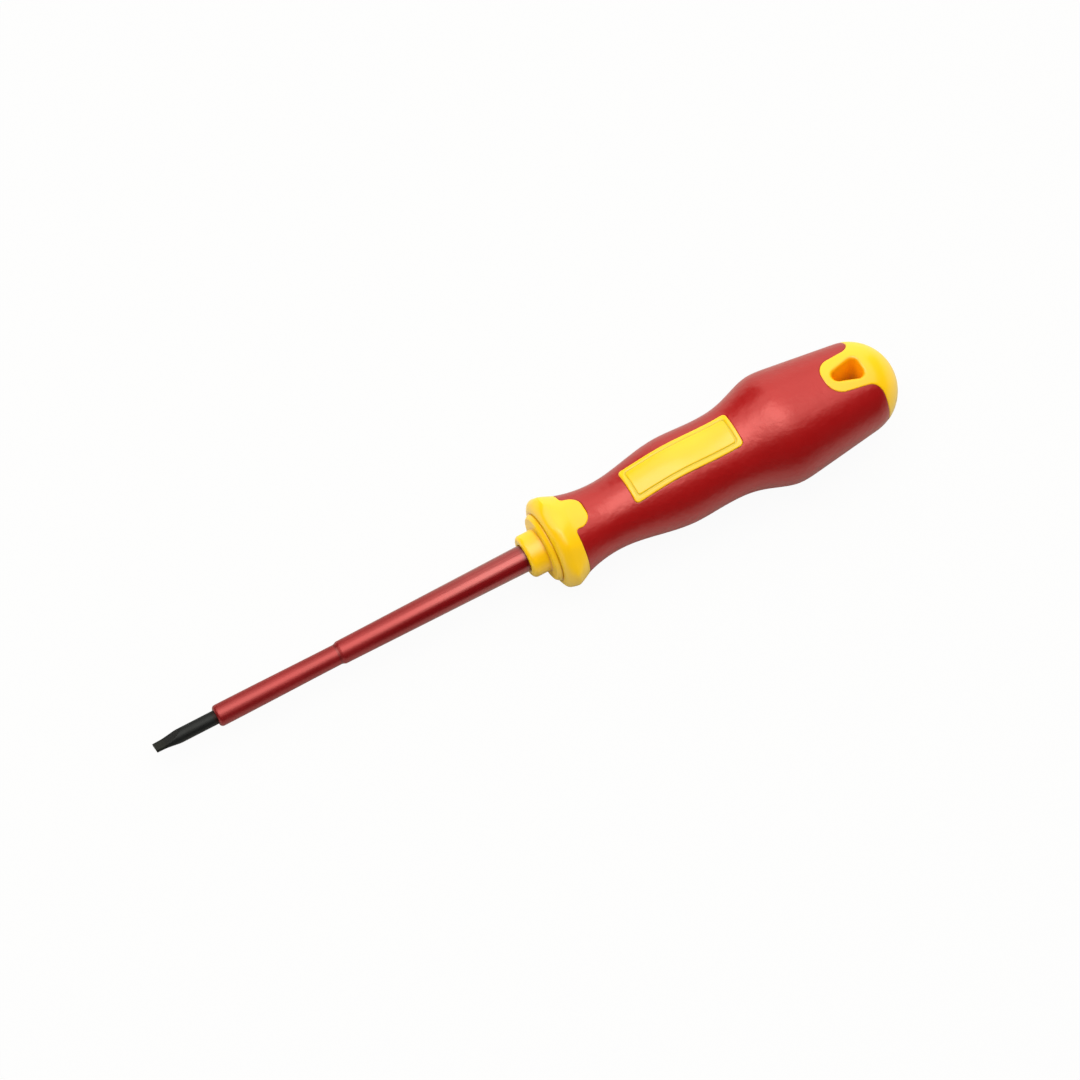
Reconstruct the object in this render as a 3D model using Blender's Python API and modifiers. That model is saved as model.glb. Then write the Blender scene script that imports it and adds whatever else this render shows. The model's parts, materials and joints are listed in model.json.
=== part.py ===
"""Insulated slotted screwdriver, modelled upright on its axis and then laid down at rest."""

import math

import bmesh
import bpy
from mathutils import Matrix, Vector

MM = 0.001

# Stations run along the tool's axis from the nose face of the handle: the tip below it, the butt above.

# Blade and its tang
BLADE_LENGTH = 100 * MM
ROD_DIAMETER = 3.5 * MM
TIP_THICKNESS = 0.6 * MM
TIP_LAND = 2.6 * MM
TIP_LAND_THICKNESS = 0.85 * MM
TIP_TAPER = 4.6 * MM
TIP_TURN = math.radians(32)
TANG_LENGTH = 62 * MM
WING_STATION = 36 * MM
WING_LENGTH = 9 * MM
WING_WIDTH = 7 * MM
WING_THICKNESS = 1.6 * MM

# Two bonded layers of insulation on the blade
BARE_TIP = 16.3 * MM
INNER_FRONT_DIAMETER = 5.5 * MM
INNER_REAR_DIAMETER = 5.1 * MM
INNER_EDGE_ROUND = 0.7 * MM
OUTER_LENGTH = 51 * MM
OUTER_FRONT_DIAMETER = 5.85 * MM
OUTER_REAR_DIAMETER = 6.8 * MM
OUTER_RAMP = 1.2 * MM
OUTER_LIP = 0.1 * MM
INSULATION_DEPTH = 11 * MM

# Outline of the handle
HANDLE_LENGTH = 102.7 * MM
NOSE_DIAMETER = 11 * MM
NOSE_LENGTH = 4.7 * MM
NOSE_ROUND = 1.1 * MM
PLATE_DIAMETER = 17 * MM
PLATE_THICKNESS = 1.3 * MM
PLATE_ROUND = 0.35 * MM
GUARD_DIAMETER = 24.9 * MM
GUARD_FRONT = 3.1 * MM
GUARD_ROUND = 4.2 * MM
GUARD_ACROSS_FLATS = 23.6 * MM
GUARD_FLAT_SETBACK = 2.4 * MM
GUARD_FLAT_TAPER = math.radians(20)
GUARD_FLAT_LEAN = math.radians(15)
GUARD_FLAT_HOLLOW = 0.004
FLARE_RADIUS = 31 * MM
WAIST_STATION = 22.4 * MM
WAIST_DIAMETER = 17.4 * MM
SWELL_STATION = 42.5 * MM
SWELL_DIAMETER = 22.7 * MM
SADDLE_STATION = 52.5 * MM
SADDLE_DIAMETER = 21.9 * MM
BELLY_STATION = 70 * MM
BELLY_DIAMETER = 29.1 * MM
BELLY_CROWN_RADIUS = 25 * MM
BELLY_LATE_RISE = 1.4
BUTT_RADIUS = 11.95 * MM

# Where the soft grip meets the hard collar and cap
GRIP_WALL = 2 * MM
COLLAR_EDGE = 12.4 * MM
COLLAR_TONGUE_LENGTH = 4.8 * MM
COLLAR_TONGUE_WIDTH = 8.4 * MM
COLLAR_TONGUE_FLARE = 0.3 * MM
COLLAR_TONGUE_ROUND = 3.5 * MM
COLLAR_ROOT_ROUND = 1 * MM
CAP_LENGTH = 6.8 * MM
CAP_FAR_ADVANCE = 1.8 * MM
CAP_TONGUE_LENGTH = 12.7 * MM
CAP_TONGUE_WIDTH = 9 * MM
CAP_TONGUE_FLARE = 1.3 * MM
CAP_TONGUE_ROUND = 4.2 * MM
CAP_ROOT_ROUND = 3.2 * MM

# Seats inside the handle
SPIGOT_DIAMETER = 13 * MM
SPIGOT_LENGTH = 5 * MM
CAP_SPIGOT_DIAMETER = 9 * MM
CAP_SPIGOT_LENGTH = 8 * MM

# Label plates, one on the front and one on the back of the handle
LABEL_STATION = 28.7 * MM
LABEL_LENGTH = 29.8 * MM
LABEL_WIDTH = 9.6 * MM
LABEL_CORNER = 1 * MM
LABEL_RAISE = 0.4 * MM
LABEL_RIM = 1.1 * MM
LABEL_FIELD_DEPTH = 0.2 * MM

# Hanging hole, a rounded triangle through the cap with its point towards the blade
HOLE_SETBACK = 9.4 * MM
HOLE_LENGTH = 7.7 * MM
HOLE_WIDTH = 6.2 * MM
HOLE_POINT_RADIUS = 1.6 * MM
HOLE_CORNER_RADIUS = 1.5 * MM

# Clearances: bonded layers, and the seams between moulded pieces
LAYER_GAP = 0.05 * MM
SEAM_GAP = 0.3 * MM

# Fineness of the faceted solids
HANDLE_STEPS = 40
ROD_STEPS = 24
PROFILE_STEP = 3 * MM
ARC_STEP = math.radians(18)
WELD = 0.001 * MM

# Worked out from the sizes above
ROD_RADIUS = ROD_DIAMETER / 2
OUTER_RADIUS = OUTER_REAR_DIAMETER / 2
PLATE_STATION = NOSE_LENGTH
GUARD_STATION = PLATE_STATION + PLATE_THICKNESS
GUARD_CREST = GUARD_STATION + GUARD_FRONT
BUTT_CENTRE = HANDLE_LENGTH - BUTT_RADIUS
CAP_EDGE = HANDLE_LENGTH - CAP_LENGTH
CAP_TONGUE_TIP = CAP_EDGE - CAP_TONGUE_LENGTH
COLLAR_TONGUE_TIP = COLLAR_EDGE + COLLAR_TONGUE_LENGTH
REACH = 2 * BELLY_DIAMETER

# Colour, roughness and metallic value of each piece
YELLOW = (0.95, 0.66, 0.02)
RED = (0.60, 0.02, 0.03)
DARK_STEEL = (0.045, 0.045, 0.05)
AMBER = (0.80, 0.62, 0.22)
FINISHES = {
    "blade": (DARK_STEEL, 0.38, 0.9),
    "inner_insulation": (RED, 0.35, 0.0),
    "outer_insulation": (RED, 0.35, 0.0),
    "handle_core": (AMBER, 0.5, 0.0),
    "front_collar": (YELLOW, 0.4, 0.0),
    "grip": (RED, 0.55, 0.0),
    "label_plate": (YELLOW, 0.4, 0.0),
    "reverse_plate": (YELLOW, 0.4, 0.0),
    "butt_cap": (YELLOW, 0.4, 0.0),
}


def ease(share):
    """Rise smoothly from 0 to 1 as share does."""
    return share * share * (3 - 2 * share)


def tail_taper():
    """Slope angle of the tail, the line that touches both the belly's crown and the round butt."""
    run = BUTT_CENTRE - BELLY_STATION
    rise = BELLY_CROWN_RADIUS - BELLY_DIAMETER / 2
    normal = math.atan2(rise, run) + math.acos((BELLY_CROWN_RADIUS - BUTT_RADIUS) / math.hypot(run, rise))
    return math.pi / 2 - normal


TAPER = tail_taper()
CROWN_END = BELLY_STATION + BELLY_CROWN_RADIUS * math.sin(TAPER)
DOME_START = BUTT_CENTRE + BUTT_RADIUS * math.sin(TAPER)


def arc_rise(radius, run):
    """Height that a circle of this radius gains over a run from its lowest point."""
    return radius - math.sqrt(radius ** 2 - run ** 2)


def handle_radius(station):
    """Outer radius of the handle behind the guard's crest, whose flank runs straight to the collar's edge."""
    if station < COLLAR_EDGE:
        share = (COLLAR_EDGE - station) / (COLLAR_EDGE - GUARD_CREST)
        return (1 - share) * handle_radius(COLLAR_EDGE) + share * GUARD_DIAMETER / 2
    waist = WAIST_DIAMETER / 2
    swell = SWELL_DIAMETER / 2
    saddle = SADDLE_DIAMETER / 2
    belly = BELLY_DIAMETER / 2
    if station < WAIST_STATION:
        return waist + arc_rise(FLARE_RADIUS, WAIST_STATION - station)
    if station < SWELL_STATION:
        share = (station - WAIST_STATION) / (SWELL_STATION - WAIST_STATION)
        return waist + (swell - waist) * ease(share)
    if station < SADDLE_STATION:
        share = (station - SWELL_STATION) / (SADDLE_STATION - SWELL_STATION)
        return swell + (saddle - swell) * ease(share)
    if station < BELLY_STATION:
        share = (station - SADDLE_STATION) / (BELLY_STATION - SADDLE_STATION)
        return saddle + (belly - saddle) * ease(share ** BELLY_LATE_RISE)
    if station < CROWN_END:
        return belly - arc_rise(BELLY_CROWN_RADIUS, station - BELLY_STATION)
    if station < DOME_START:
        return BUTT_RADIUS / math.cos(TAPER) - (station - BUTT_CENTRE) * math.tan(TAPER)
    return math.sqrt(max(0, BUTT_RADIUS ** 2 - (station - BUTT_CENTRE) ** 2))


def spread(low, high):
    """Evenly spaced stations from low to high, both included."""
    count = max(2, math.ceil((high - low) / PROFILE_STEP))
    return [low + (high - low) * i / count for i in range(count + 1)]


def outer_line(low, high, offset=0):
    """Points of the handle's outline from high down to low, moved out by offset."""
    bends = [low, COLLAR_EDGE, high] if low < COLLAR_EDGE < high else [low, high]
    stations = {z for start, end in zip(bends, bends[1:]) for z in spread(start, end)}
    return [(handle_radius(z) + offset, z) for z in sorted(stations, reverse=True)]


def core_bends():
    """Stations where the line between grip and core bends: the handle's main ones and those midway."""
    main = [COLLAR_EDGE, WAIST_STATION, SWELL_STATION, SADDLE_STATION, BELLY_STATION, CAP_TONGUE_TIP,
            CAP_EDGE]
    return sorted(main + [(a + b) / 2 for a, b in zip(main, main[1:])])


def core_radius(station):
    """Radius of the line between grip and core, straight from bend to bend and on past its ends."""
    bends = core_bends()
    ends = next((pair for pair in zip(bends, bends[1:]) if station <= pair[1]), bends[-2:])
    share = (station - ends[0]) / (ends[1] - ends[0])
    return (1 - share) * handle_radius(ends[0]) + share * handle_radius(ends[1]) - GRIP_WALL


def inner_line(low, high, offset=0):
    """Points of the line between grip and core, from low up to high, moved out by offset."""
    stations = [low] + [z for z in core_bends() if low < z < high] + [high]
    return [(core_radius(z) + offset, z) for z in stations]


def quarter(centre, radius, start, end):
    """Points of an arc in a profile: centre and points are (radius, station), angles from straight out."""
    count = max(2, math.ceil(abs(end - start) / ARC_STEP))
    angles = [start + (end - start) * i / count for i in range(count + 1)]
    return [(centre[0] + radius * math.cos(t), centre[1] + radius * math.sin(t)) for t in angles]


def rounded(corners):
    """Points of an outline given by its corners (x, y, radius), each with an arc of that radius."""
    points = []
    for i, (x, y, radius) in enumerate(corners):
        here = Vector((x, y))
        back = (Vector(corners[i - 1][:2]) - here).normalized()
        ahead = (Vector(corners[(i + 1) % len(corners)][:2]) - here).normalized()
        half = back.angle(ahead) / 2
        if radius == 0:
            points.append(here)
            continue
        centre = here + (back + ahead).normalized() * radius / math.sin(half)
        start = here + back * radius / math.tan(half) - centre
        turn = start.angle_signed(here + ahead * radius / math.tan(half) - centre)
        count = max(2, math.ceil(abs(turn) / ARC_STEP))
        for k in range(count + 1):
            points.append(centre + Matrix.Rotation(-turn * k / count, 2) @ start)
    return points


def turned(name, profile, steps, collection, closed=False):
    """A solid turned about the axis from (radius, station) points that run down its outer side."""
    mesh = bpy.data.meshes.new(name)
    edges = [(i, i + 1) for i in range(len(profile) - 1)]
    if closed:
        edges.append((len(profile) - 1, 0))
    mesh.from_pydata([(radius, 0, station) for radius, station in profile], edges, [])
    obj = bpy.data.objects.new(name, mesh)
    collection.objects.link(obj)
    spin = obj.modifiers.new("turn", "SCREW")
    spin.axis = "Z"
    spin.steps = steps
    spin.render_steps = steps
    spin.use_merge_vertices = True
    spin.merge_threshold = WELD
    spin.use_smooth_shade = True
    return obj


def prism(name, outline, low, high, collection, turn=0):
    """A solid with an outline of (station, side) points, from low to high towards the label side."""
    curve = bpy.data.curves.new(name, "CURVE")
    curve.dimensions = "2D"
    curve.fill_mode = "BOTH"
    curve.extrude = (high - low) / 2
    spline = curve.splines.new("POLY")
    spline.points.add(len(outline) - 1)
    for point, (station, side) in zip(spline.points, outline):
        point.co = (station, side, 0, 1)
    spline.use_cyclic_u = True
    flat = bpy.data.objects.new(name + "_outline", curve)
    collection.objects.link(flat)
    flat.rotation_euler = (0, -math.pi / 2, turn)
    flat.location = (-(low + high) / 2, 0, 0)
    bpy.context.view_layer.update()
    mesh = bpy.data.meshes.new_from_object(flat.evaluated_get(bpy.context.evaluated_depsgraph_get()))
    obj = bpy.data.objects.new(name, mesh)
    collection.objects.link(obj)
    obj.matrix_world = flat.matrix_world
    bpy.data.objects.remove(flat)
    solid = bmesh.new()
    solid.from_mesh(mesh)
    bmesh.ops.remove_doubles(solid, verts=solid.verts, dist=WELD)
    bmesh.ops.recalc_face_normals(solid, faces=solid.faces)
    solid.to_mesh(mesh)
    solid.free()
    return obj


def block(name, size, centre, collection):
    """A box of this size about its centre."""
    mesh = bpy.data.meshes.new(name)
    solid = bmesh.new()
    bmesh.ops.create_cube(solid, size=1, matrix=Matrix.Diagonal((*size, 1)))
    solid.to_mesh(mesh)
    solid.free()
    obj = bpy.data.objects.new(name, mesh)
    obj.location = centre
    collection.objects.link(obj)
    return obj


def combine(obj, other, operation):
    """Join, cut or keep what two solids share."""
    modifier = obj.modifiers.new(operation.lower() + "_" + other.name, "BOOLEAN")
    modifier.operation = operation
    modifier.object = other


def tongued_outline(edges, tip, end, half_tip, half_root, tip_round, root_round):
    """Outline of a region from its end to its near and far edges, with a round tongue between these."""
    near, far = edges
    return rounded([
        (end, -REACH, 0), (near, -REACH, 0),
        (near, -half_root, root_round), (tip, -half_tip, tip_round),
        (tip, half_tip, tip_round), (far, half_root, root_round),
        (far, REACH, 0), (end, REACH, 0),
    ])


def collar_outline(grow=0):
    """Seen from the label side, the region of the collar, grown by a clearance."""
    half = COLLAR_TONGUE_WIDTH / 2 + grow
    edge = COLLAR_EDGE + grow
    return tongued_outline((edge, edge), COLLAR_TONGUE_TIP + grow, -REACH, half,
                           half + COLLAR_TONGUE_FLARE, COLLAR_TONGUE_ROUND + grow, COLLAR_ROOT_ROUND - grow)


def cap_outline(grow=0):
    """Seen from the label side, the region of the butt cap, grown by a clearance."""
    half = CAP_TONGUE_WIDTH / 2 + grow
    edge = CAP_EDGE - grow
    return tongued_outline((edge, edge - CAP_FAR_ADVANCE), CAP_TONGUE_TIP - grow, HANDLE_LENGTH + REACH, half,
                           half + CAP_TONGUE_FLARE, CAP_TONGUE_ROUND + grow, CAP_ROOT_ROUND - grow)


def label_outline(grow=0):
    """Seen from the label side, a label plate, grown by a clearance or shrunk to its field."""
    low = LABEL_STATION - grow
    high = LABEL_STATION + LABEL_LENGTH + grow
    half = LABEL_WIDTH / 2 + grow
    corner = max(LABEL_CORNER + grow, LABEL_CORNER / 2)
    return rounded([(low, -half, corner), (high, -half, corner), (high, half, corner), (low, half, corner)])


def hole_outline():
    """Seen from the label side, the hanging hole: circles at its point and two corners, and tangents."""
    rear = HANDLE_LENGTH - HOLE_SETBACK
    point_centre = rear - HOLE_LENGTH + HOLE_POINT_RADIUS
    corner_centre = rear - HOLE_CORNER_RADIUS
    corner_side = HOLE_WIDTH / 2 - HOLE_CORNER_RADIUS
    run = corner_centre - point_centre
    narrowing = math.asin((HOLE_POINT_RADIUS - HOLE_CORNER_RADIUS) / math.hypot(run, corner_side))
    side = math.pi / 2 + math.atan2(corner_side, run) - narrowing
    far_corner = quarter((corner_centre, corner_side), HOLE_CORNER_RADIUS, 0, side)
    point = quarter((point_centre, 0), HOLE_POINT_RADIUS, side, 2 * math.pi - side)
    near_corner = quarter((corner_centre, -corner_side), HOLE_CORNER_RADIUS, 2 * math.pi - side, 2 * math.pi)
    return far_corner + point + near_corner


def make_blade(parts, cutters):
    """Steel rod with a ground slotted tip and two wings on the tang that keep it from turning."""
    blade = turned("blade", [(0, TANG_LENGTH), (ROD_RADIUS, TANG_LENGTH), (ROD_RADIUS, -BLADE_LENGTH),
                             (0, -BLADE_LENGTH)], ROD_STEPS, parts)
    land_end = -BLADE_LENGTH + TIP_LAND
    taper_end = land_end + TIP_TAPER
    for side, name in ((1, "tip_grind_front"), (-1, "tip_grind_back")):
        outline = [(-BLADE_LENGTH - ROD_DIAMETER, side * TIP_THICKNESS / 2),
                   (-BLADE_LENGTH, side * TIP_THICKNESS / 2),
                   (land_end, side * TIP_LAND_THICKNESS / 2),
                   (taper_end, side * ROD_RADIUS),
                   (taper_end, side * ROD_DIAMETER),
                   (-BLADE_LENGTH - ROD_DIAMETER, side * ROD_DIAMETER)]
        grind = prism(name, outline, -ROD_DIAMETER, ROD_DIAMETER, cutters, math.pi / 2 - TIP_TURN)
        combine(blade, grind, "DIFFERENCE")
    wings = block("tang_wings", (WING_THICKNESS, WING_WIDTH, WING_LENGTH), (0, 0, WING_STATION), cutters)
    combine(blade, wings, "UNION")
    return blade


def make_inner_insulation(parts):
    """Tube of insulation on the blade, from behind the bare tip to inside the handle."""
    front = -BLADE_LENGTH + BARE_TIP
    bore = ROD_RADIUS + LAYER_GAP
    edge = INNER_EDGE_ROUND
    lip = quarter((INNER_FRONT_DIAMETER / 2 - edge, front + edge), edge, 0, -math.pi / 2)
    profile = [(INNER_REAR_DIAMETER / 2, INSULATION_DEPTH), (INNER_REAR_DIAMETER / 2, -OUTER_LENGTH)]
    profile += lip + [(bore, front), (bore, INSULATION_DEPTH)]
    return turned("inner_insulation", profile, ROD_STEPS, parts, closed=True)


def make_outer_insulation(parts):
    """Second tube over the first, from its sloping step to inside the handle, thickening towards the nose."""
    bore = INNER_REAR_DIAMETER / 2 + LAYER_GAP
    profile = [(OUTER_RADIUS, INSULATION_DEPTH), (OUTER_RADIUS, 0),
               (OUTER_FRONT_DIAMETER / 2, OUTER_RAMP - OUTER_LENGTH), (bore + OUTER_LIP, -OUTER_LENGTH),
               (bore, -OUTER_LENGTH), (bore, INSULATION_DEPTH)]
    return turned("outer_insulation", profile, ROD_STEPS, parts, closed=True)


def make_core(parts, cutters):
    """Hard core moulded on the tang, with a spigot for the collar and a socket for the cap."""
    shoulder = COLLAR_EDGE + SEAM_GAP
    top = CAP_TONGUE_TIP - SEAM_GAP
    spigot = SPIGOT_DIAMETER / 2
    spigot_end = COLLAR_EDGE - SPIGOT_LENGTH
    socket = CAP_SPIGOT_DIAMETER / 2 + SEAM_GAP
    socket_end = CAP_TONGUE_TIP - CAP_SPIGOT_LENGTH - SEAM_GAP
    tube_bore = OUTER_RADIUS + LAYER_GAP
    tube_end = INSULATION_DEPTH + SEAM_GAP
    rod_bore = ROD_RADIUS + LAYER_GAP
    profile = [(0, socket_end), (socket, socket_end), (socket, top)]
    profile += list(reversed(inner_line(shoulder, top, -LAYER_GAP)))
    profile += [(spigot, shoulder), (spigot, spigot_end), (tube_bore, spigot_end), (tube_bore, tube_end),
                (rod_bore, tube_end), (rod_bore, TANG_LENGTH + SEAM_GAP), (0, TANG_LENGTH + SEAM_GAP)]
    core = turned("handle_core", profile, HANDLE_STEPS, parts)
    size = [length + 2 * SEAM_GAP for length in (WING_THICKNESS, WING_WIDTH, WING_LENGTH)]
    combine(core, block("wing_slot", size, (0, 0, WING_STATION), cutters), "DIFFERENCE")
    return core


def make_collar(parts, cutters):
    """Nose, stepped plate and six-sided guard, with a tongue down each label side of the grip."""
    spigot = SPIGOT_DIAMETER / 2 + LAYER_GAP
    spigot_end = COLLAR_EDGE - SPIGOT_LENGTH - SEAM_GAP
    bore = OUTER_RADIUS + LAYER_GAP
    nose = NOSE_DIAMETER / 2
    plate = PLATE_DIAMETER / 2
    shell_end = COLLAR_TONGUE_TIP + PROFILE_STEP
    crest_turn = -math.asin(1 - GUARD_FRONT / GUARD_ROUND)
    front_centre = (GUARD_DIAMETER / 2 - GUARD_ROUND * math.cos(crest_turn), GUARD_STATION + GUARD_ROUND)
    profile = outer_line(GUARD_CREST, shell_end)
    profile += quarter(front_centre, GUARD_ROUND, crest_turn, -math.pi / 2)[1:]
    profile += quarter((plate - PLATE_ROUND, GUARD_STATION - PLATE_ROUND), PLATE_ROUND, math.pi / 2, 0)
    profile += quarter((plate - PLATE_ROUND, PLATE_STATION + PLATE_ROUND), PLATE_ROUND, 0, -math.pi / 2)
    profile += [(nose, PLATE_STATION)]
    profile += quarter((nose - NOSE_ROUND, NOSE_ROUND), NOSE_ROUND, 0, -math.pi / 2)
    profile += [(bore, 0), (bore, spigot_end), (spigot, spigot_end), (spigot, COLLAR_EDGE)]
    profile += inner_line(COLLAR_EDGE, shell_end)
    collar = turned("front_collar", profile, HANDLE_STEPS, parts, closed=True)
    combine(collar, make_guard_flats(shell_end, cutters), "INTERSECT")
    combine(collar, prism("collar_region", collar_outline(), -REACH, REACH, cutters), "INTERSECT")
    return collar


def make_guard_flats(top, cutters):
    """Six-sided double taper, one side to the label, that leaves slightly hollow flats on the guard."""
    crest = GUARD_STATION + GUARD_FLAT_SETBACK
    low = -NOSE_DIAMETER
    high = top + PROFILE_STEP
    half = GUARD_ACROSS_FLATS / 2
    rings = ((low, half - (crest - low) * math.tan(GUARD_FLAT_LEAN)),
             (crest, half),
             (high, half - (high - crest) * math.tan(GUARD_FLAT_TAPER)))
    spans = (1 - GUARD_FLAT_HOLLOW, 1 / math.cos(math.pi / 6))
    points = [Matrix.Rotation(math.pi / 6 * k, 3, "Z") @ Vector((reach * spans[k % 2], 0, z))
              for z, reach in rings for k in range(12)]
    faces = [tuple(range(12)), tuple(range(24, 36))]
    for ring in (0, 12):
        faces += [(ring + k, ring + (k + 1) % 12, ring + 12 + (k + 1) % 12, ring + 12 + k) for k in range(12)]
    mesh = bpy.data.meshes.new("guard_flats")
    mesh.from_pydata(points, [], faces)
    solid = bmesh.new()
    solid.from_mesh(mesh)
    bmesh.ops.recalc_face_normals(solid, faces=solid.faces)
    solid.to_mesh(mesh)
    solid.free()
    obj = bpy.data.objects.new("guard_flats", mesh)
    cutters.objects.link(obj)
    return obj


def make_grip(parts, cutters):
    """Soft sleeve over the core, cut out around the tongues of collar and cap and the label plates."""
    low = COLLAR_EDGE - PROFILE_STEP
    high = CAP_EDGE + PROFILE_STEP
    grip = turned("grip", outer_line(low, high) + inner_line(low, high), HANDLE_STEPS, parts, closed=True)
    combine(grip, prism("collar_notch", collar_outline(SEAM_GAP), -REACH, REACH, cutters), "DIFFERENCE")
    combine(grip, prism("cap_notch", cap_outline(SEAM_GAP), -REACH, REACH, cutters), "DIFFERENCE")
    combine(grip, prism("label_windows", label_outline(SEAM_GAP), -REACH, REACH, cutters), "DIFFERENCE")
    return grip


def make_label_plate(name, low, high, parts, cutters):
    """Raised plate seated on the core in a window of the grip, with a rim around a lower field."""
    start = LABEL_STATION - PROFILE_STEP
    end = LABEL_STATION + LABEL_LENGTH + PROFILE_STEP
    ring = outer_line(start, end, LABEL_RAISE) + inner_line(start, end)
    plate = turned(name, ring, HANDLE_STEPS, parts, closed=True)
    combine(plate, prism(name + "_region", label_outline(), low, high, cutters), "INTERSECT")
    field_ring = outer_line(start, end, REACH)
    field_ring += list(reversed(outer_line(start, end, LABEL_RAISE - LABEL_FIELD_DEPTH)))
    field = turned(name + "_field", field_ring, HANDLE_STEPS, cutters, closed=True)
    combine(field, prism(name + "_field_region", label_outline(-LABEL_RIM), low, high, cutters), "INTERSECT")
    combine(plate, field, "DIFFERENCE")
    return plate


def make_cap(parts, cutters):
    """Domed butt with a tongue on each label side, a plug under the grip and the hanging hole."""
    dome = quarter((0, BUTT_CENTRE), BUTT_RADIUS, math.pi / 2, TAPER)
    dome[0] = (0, HANDLE_LENGTH)
    profile = dome + outer_line(CAP_TONGUE_TIP - PROFILE_STEP, DOME_START)[1:]
    profile += [(0, CAP_TONGUE_TIP - PROFILE_STEP)]
    cap = turned("butt_cap", profile, HANDLE_STEPS, parts)
    combine(cap, prism("cap_region", cap_outline(), -REACH, REACH, cutters), "INTERSECT")
    spigot = CAP_SPIGOT_DIAMETER / 2
    spigot_end = CAP_TONGUE_TIP - CAP_SPIGOT_LENGTH
    plug_top = BUTT_CENTRE + BUTT_RADIUS / 2
    plug_profile = [(0, plug_top)] + list(reversed(inner_line(CAP_TONGUE_TIP, plug_top, -LAYER_GAP)))
    plug_profile += [(spigot, CAP_TONGUE_TIP), (spigot, spigot_end), (0, spigot_end)]
    combine(cap, turned("cap_plug", plug_profile, HANDLE_STEPS, cutters), "UNION")
    combine(cap, prism("hanging_hole", hole_outline(), -REACH, REACH, cutters), "DIFFERENCE")
    return cap


def finish(obj):
    """Give a piece its own material."""
    colour, roughness, metallic = FINISHES[obj.name]
    material = bpy.data.materials.new(obj.name)
    material.use_nodes = True
    shader = material.node_tree.nodes["Principled BSDF"]
    shader.inputs["Base Color"].default_value = (*colour, 1)
    shader.inputs["Roughness"].default_value = roughness
    shader.inputs["Metallic"].default_value = metallic
    obj.data.materials.append(material)


def points_of(objects):
    """World points of the evaluated meshes of some objects."""
    graph = bpy.context.evaluated_depsgraph_get()
    points = []
    for obj in objects:
        shape = obj.evaluated_get(graph)
        points += [shape.matrix_world @ vertex.co for vertex in shape.to_mesh().vertices]
        shape.to_mesh_clear()
    return points


def rest_tilt(guard, body):
    """Angle at which the guard and the belly of the upright tool, laid on its back, touch one plane."""
    def reach(points, tilt):
        return min(point.z * math.sin(tilt) - point.x * math.cos(tilt) for point in points)

    low, high = 0, math.pi / 4
    for _ in range(40):
        middle = (low + high) / 2
        if reach(guard, middle) > reach(body, middle):
            low = middle
        else:
            high = middle
    return (low + high) / 2


def lay_down(tool, objects):
    """Lay the tool on its back, label up and blade towards -X, centred over the origin."""
    guard = points_of([bpy.data.objects["front_collar"]])
    body = points_of([bpy.data.objects["grip"]])
    tool.rotation_euler = (0, math.pi / 2 - rest_tilt(guard, body), 0)
    bpy.context.view_layer.update()
    points = points_of(objects)
    middle = [(min(p[i] for p in points) + max(p[i] for p in points)) / 2 for i in (0, 1)]
    tool.location = (-middle[0], -middle[1], -min(p.z for p in points))
    bpy.context.view_layer.update()


def build():
    """Make the whole screwdriver."""
    for obj in list(bpy.data.objects):
        bpy.data.objects.remove(obj)
    parts = bpy.data.collections.new("insulated_screwdriver")
    cutters = bpy.data.collections.new("cutters")
    for collection in (parts, cutters):
        bpy.context.scene.collection.children.link(collection)
    pieces = [
        make_blade(parts, cutters),
        make_inner_insulation(parts),
        make_outer_insulation(parts),
        make_core(parts, cutters),
        make_collar(parts, cutters),
        make_grip(parts, cutters),
        make_label_plate("label_plate", 0, REACH, parts, cutters),
        make_label_plate("reverse_plate", -REACH, 0, parts, cutters),
        make_cap(parts, cutters),
    ]
    tool = bpy.data.objects.new("tool", None)
    parts.objects.link(tool)
    for obj in [*pieces, *cutters.objects]:
        obj.parent = tool
    for cutter in cutters.objects:
        cutter.hide_render = True
        cutter.display_type = "WIRE"
    for piece in pieces:
        finish(piece)
    bpy.context.view_layer.update()
    lay_down(tool, pieces)


build()
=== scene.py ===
"""Insulated screwdriver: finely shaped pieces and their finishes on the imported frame."""

import json
import math

import bmesh
import bpy
import numpy as np
from mathutils import Matrix, Vector


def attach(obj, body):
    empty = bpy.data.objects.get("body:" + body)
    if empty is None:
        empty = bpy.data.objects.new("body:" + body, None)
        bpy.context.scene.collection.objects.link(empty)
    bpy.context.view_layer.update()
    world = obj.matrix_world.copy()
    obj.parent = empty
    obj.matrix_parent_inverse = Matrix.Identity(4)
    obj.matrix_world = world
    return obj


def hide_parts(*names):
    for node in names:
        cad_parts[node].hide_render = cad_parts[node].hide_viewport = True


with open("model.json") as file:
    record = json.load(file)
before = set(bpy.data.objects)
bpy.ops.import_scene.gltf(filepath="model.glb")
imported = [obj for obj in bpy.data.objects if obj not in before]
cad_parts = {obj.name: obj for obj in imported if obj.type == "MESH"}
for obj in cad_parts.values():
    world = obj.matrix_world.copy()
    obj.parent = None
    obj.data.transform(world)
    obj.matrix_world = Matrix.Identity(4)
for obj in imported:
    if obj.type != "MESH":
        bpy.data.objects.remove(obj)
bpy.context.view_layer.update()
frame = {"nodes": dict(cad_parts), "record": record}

# Lengths are in millimetres in the tool's own frame: the station along its axis from the nose face of the
# handle (tip before it, butt behind it), the side towards +Y, and the rise towards the label plate.
MM = 0.001

# Blade
BLADE_LENGTH = 100
ROD_RADIUS = 1.75
TIP_HALF_THICKNESS = 0.3
TIP_LAND = 2.6
TIP_LAND_HALF_THICKNESS = 0.42
TIP_TAPER = 4.6
TIP_HOLLOW = 0.16
TIP_TURN = math.radians(32)
TANG_LENGTH = 62

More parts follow.
